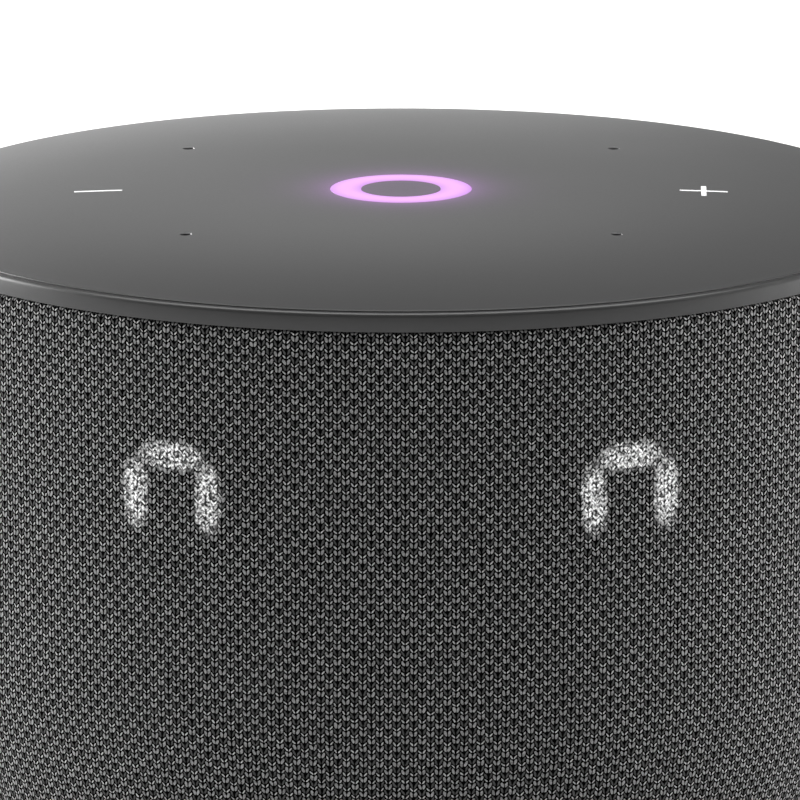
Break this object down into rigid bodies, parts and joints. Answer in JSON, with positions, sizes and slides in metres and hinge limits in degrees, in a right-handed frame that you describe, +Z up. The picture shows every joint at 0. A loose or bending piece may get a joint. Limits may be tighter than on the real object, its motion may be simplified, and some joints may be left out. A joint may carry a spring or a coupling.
{
  "type": "smart speaker",
  "caption": "Round table-top speaker with a knitted cover over a slotted frame, a gently domed touch top with a light ring, and a clock shown through the knit.",
  "frame": {"origin": "on the table under the middle of the foot", "axes": "+Z up, the front with the clock faces -Y, the sockets face +Y, +X is to the right when seen from the front"},
  "size_m": [0.098, 0.098, 0.065],
  "materials": {
    "charcoal_plastic": "satin, fine texture",
    "bezel_plastic": "satin",
    "light_lens": "frosted, lit violet",
    "white_plastic": "matt white",
    "circuit_board": "solder mask",
    "copper_foil": "thin foil",
    "chip_black": "moulded",
    "bright_metal": "tinned or plated",
    "aluminium": "plain",
    "foam": "soft foam",
    "rubber": "matt",
    "knit": "two-tone charcoal knit",
    "black_plastic": "moulded",
    "cable": "flat flexible cable",
    "pressed_steel": "black paint",
    "ferrite": "sintered",
    "copper_wire": "enamelled winding",
    "paper_cone": "pressed pulp",
    "spider_cloth": "treated cloth",
    "slider_plastic": "satin"
  },
  "bodies": {
    "housing": {"top_cover": "charcoal_plastic", "bezel_ring": "bezel_plastic", "light_ring_lens": "light_lens", "light_diffuser": "white_plastic", "minus_mark": "white_plastic", "plus_mark": "white_plastic", "touch_board": "circuit_board", "touch_pads": "copper_foil", "ring_leds": "white_plastic", "microphones": "bright_metal", "microphone_gaskets": "foam", "ribbon_cable": "cable", "main_board": "circuit_board", "processor_shield": "bright_metal", "radio_module": "bright_metal", "board_components": "chip_black", "heat_spreader": "aluminium", "board_screws": "bright_metal", "top_screws": "bright_metal", "fabric_sleeve": "knit", "grille_frame": "black_plastic", "display_board": "circuit_board", "display_leds": "white_plastic", "display_mask": "black_plastic", "digit_1": "white_plastic", "digit_2": "white_plastic", "digit_3": "white_plastic", "digit_4": "white_plastic", "colon_dots": "white_plastic", "chamber_body": "black_plastic", "chamber_lid": "black_plastic", "chamber_gaskets": "foam", "lid_screws": "bright_metal", "driver_basket": "pressed_steel", "driver_screws": "bright_metal", "top_plate": "bright_metal", "magnet": "ferrite", "yoke": "bright_metal", "surround": "rubber", "spider": "spider_cloth", "radiator_left_frame": "black_plastic", "radiator_right_frame": "black_plastic", "radiator_left_surround": "rubber", "radiator_right_surround": "rubber", "port_panel": "charcoal_plastic", "port_board": "circuit_board", "power_jack": "black_plastic", "audio_jack": "black_plastic", "mute_switch": "black_plastic", "port_cable": "cable", "base_plate": "black_plastic", "base_screws": "bright_metal", "foot_ring": "rubber"},
    "speaker_cone": {"cone": "paper_cone", "dust_cap": "paper_cone", "voice_coil": "copper_wire"},
    "left_radiator": {"radiator_left_diaphragm": "black_plastic"},
    "right_radiator": {"radiator_right_diaphragm": "black_plastic"},
    "mute_slider": {"mute_slider": "slider_plastic"}
  },
  "joints": [
    {"name": "cone_travel", "type": "slide", "parent": "housing", "child": "speaker_cone", "axis": [0, 0, 1], "range_m": [-0.002, 0.002], "stiffness_N_per_m": 1200, "deforming": ["surround", "spider"]},
    {"name": "left_radiator_travel", "type": "slide", "parent": "housing", "child": "left_radiator", "axis": [-1, 0, 0], "range_m": [-0.0025, 0.0025], "stiffness_N_per_m": 600, "deforming": ["radiator_left_surround"]},
    {"name": "right_radiator_travel", "type": "slide", "parent": "housing", "child": "right_radiator", "axis": [1, 0, 0], "range_m": [-0.0025, 0.0025], "stiffness_N_per_m": 600, "deforming": ["radiator_right_surround"]},
    {"name": "mute_slide", "type": "slide", "parent": "housing", "child": "mute_slider", "axis": [1, 0, 0], "range_m": [0, 0.002]}
  ]
}
